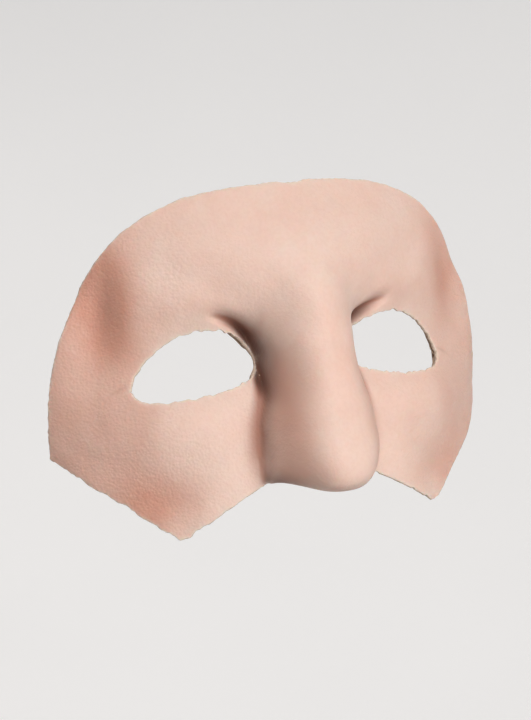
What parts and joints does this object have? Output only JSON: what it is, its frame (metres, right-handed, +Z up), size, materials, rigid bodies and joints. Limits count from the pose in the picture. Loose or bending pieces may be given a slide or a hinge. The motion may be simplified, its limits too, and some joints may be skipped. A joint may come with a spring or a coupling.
{
  "type": "half face mask",
  "caption": "Moulded leather half mask with a large rounded nose, almond eye openings, lining, soft pads, and strap rings at the temples.",
  "frame": {"origin": "middle of the brow pad's inner face, on the mid-plane, where the wearer's forehead rests", "axes": "+Z up, -Y the way the wearer looks, +X the wearer's left, mid-plane at X = 0"},
  "size_m": [0.1384, 0.0575, 0.0965],
  "materials": {
    "skin_leather": "matt, fine grain, pinkish nude",
    "lining_leather": "suede side, matt",
    "pad_suede": "brushed suede cover over foam, matt",
    "strap_leather": "plain tan leather, low sheen",
    "thread": "waxed linen thread",
    "ring_steel": "nickel plated, polished"
  },
  "bodies": {
    "mask": {"face_skin": "skin_leather", "face_lining": "lining_leather", "brow_pad": "pad_suede", "cheek_pad_left": "pad_suede", "cheek_pad_right": "pad_suede", "temple_patch_left": "strap_leather", "temple_patch_right": "strap_leather", "ring_loop_left": "strap_leather", "ring_loop_right": "strap_leather", "loop_stitches_left": "thread", "loop_stitches_right": "thread"},
    "ring_left": {"strap_ring_left": "ring_steel"},
    "ring_right": {"strap_ring_right": "ring_steel"}
  },
  "joints": [
    {"name": "ring_swing_left", "type": "hinge", "parent": "mask", "child": "ring_left", "pos_m": [0.05715, 0.02946, -0.03693], "axis": [0.0098, -0.0149, 0.9998], "range_deg": [-8, 160]},
    {"name": "ring_swing_right", "type": "hinge", "parent": "mask", "child": "ring_right", "pos_m": [-0.05715, 0.02946, -0.03693], "axis": [0.0098, 0.0149, -0.9998], "range_deg": [-8, 160]}
  ]
}
